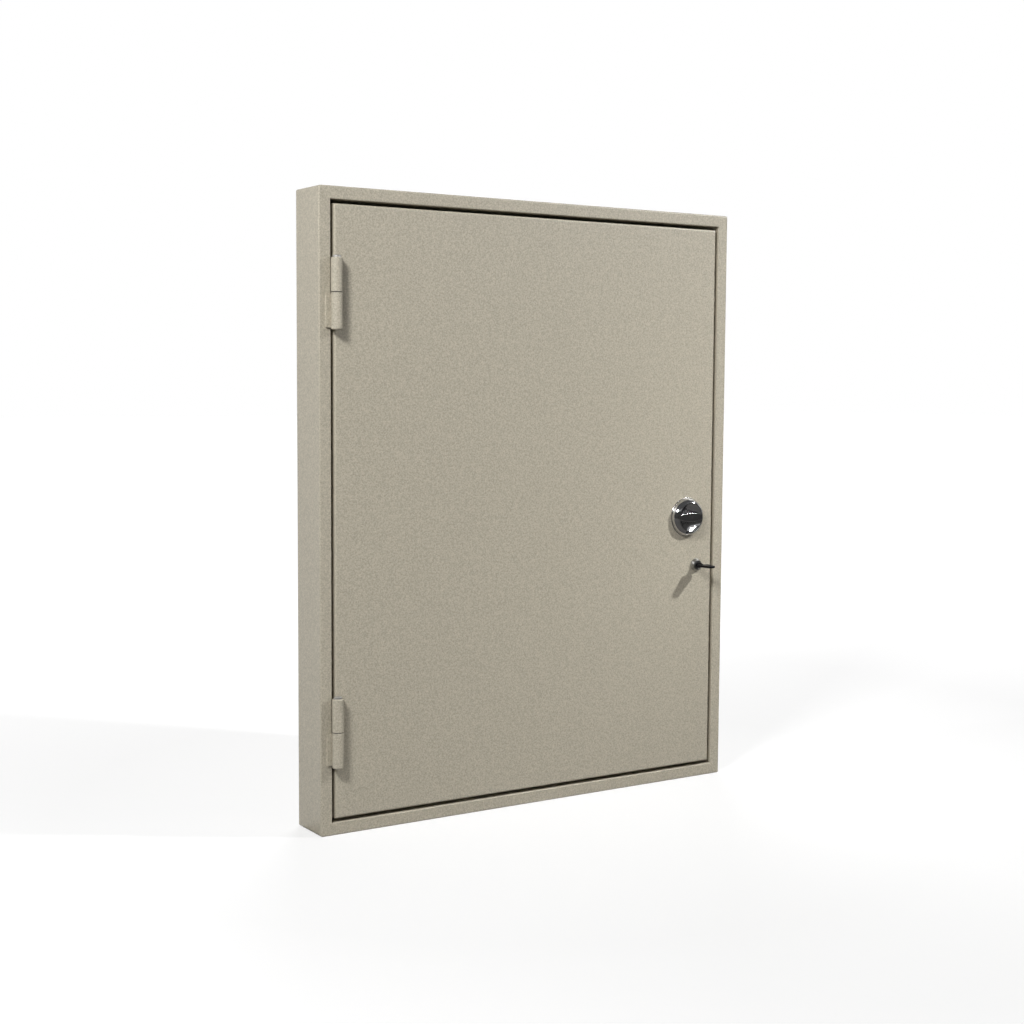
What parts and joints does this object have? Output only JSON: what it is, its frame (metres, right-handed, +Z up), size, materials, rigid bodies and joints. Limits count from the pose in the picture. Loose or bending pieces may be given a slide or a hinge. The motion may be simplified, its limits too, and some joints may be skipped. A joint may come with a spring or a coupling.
{
  "type": "steel shaft door",
  "caption": "Small painted steel shaft door: flush leaf in a folded box frame, lift-off hinges, round chrome turn handle and a cylinder lock with its key.",
  "frame": {"origin": "on the sill's outer rear flange, in the wall plane, at mid-width", "axes": "+X right seen from the front, +Y into the wall, +Z up; the front faces -Y"},
  "size_m": [0.64, 0.1018, 0.8],
  "materials": {
    "door_paint": "fine-grained beige-grey powder coat, satin",
    "chrome": "bright chrome plate",
    "pin_steel": "bare turned steel",
    "lock_steel": "zinc-plated, fine brushed",
    "washer_nylon": "dark grey nylon",
    "key_steel": "nickel-plated blade",
    "key_plastic": "black moulded, fine-grained",
    "seal_rubber": "black extruded rubber"
  },
  "bodies": {
    "frame": {"frame_hinge_jamb": "door_paint", "frame_latch_jamb": "door_paint", "frame_head": "door_paint", "frame_sill": "door_paint", "seal_hinge_side": "seal_rubber", "seal_latch_side": "seal_rubber", "seal_head": "seal_rubber", "seal_sill": "seal_rubber", "upper_hinge_frame_knuckle": "door_paint", "lower_hinge_frame_knuckle": "door_paint", "upper_hinge_pin": "pin_steel", "lower_hinge_pin": "pin_steel", "upper_hinge_washer": "washer_nylon", "lower_hinge_washer": "washer_nylon"},
    "leaf": {"leaf_front_tray": "door_paint", "leaf_back_cover": "door_paint", "upper_hinge_leaf_knuckle": "door_paint", "lower_hinge_leaf_knuckle": "door_paint", "lock_forend": "lock_steel", "lock_case": "lock_steel", "latch_bolt": "lock_steel", "dead_bolt": "lock_steel", "handle_rose": "chrome", "lock_cylinder": "lock_steel"},
    "turn_handle": {"turn_grip": "chrome", "handle_spindle": "pin_steel"},
    "key": {"lock_plug": "lock_steel", "key_blade": "key_steel", "key_head": "key_plastic"}
  },
  "joints": [
    {"name": "leaf_hinge", "type": "hinge", "parent": "frame", "child": "leaf", "pos_m": [-0.3, -0.0723, 0.392], "axis": [0, 0, -1], "range_deg": [0, 180]},
    {"name": "handle_turn", "type": "hinge", "parent": "leaf", "child": "turn_handle", "pos_m": [0.253, -0.064, 0.368], "axis": [0, 1, 0], "range_deg": [0, 90]},
    {"name": "key_turn", "type": "hinge", "parent": "leaf", "child": "key", "pos_m": [0.271, -0.064, 0.299], "axis": [0, 1, 0], "range_deg": [0, 90]}
  ]
}
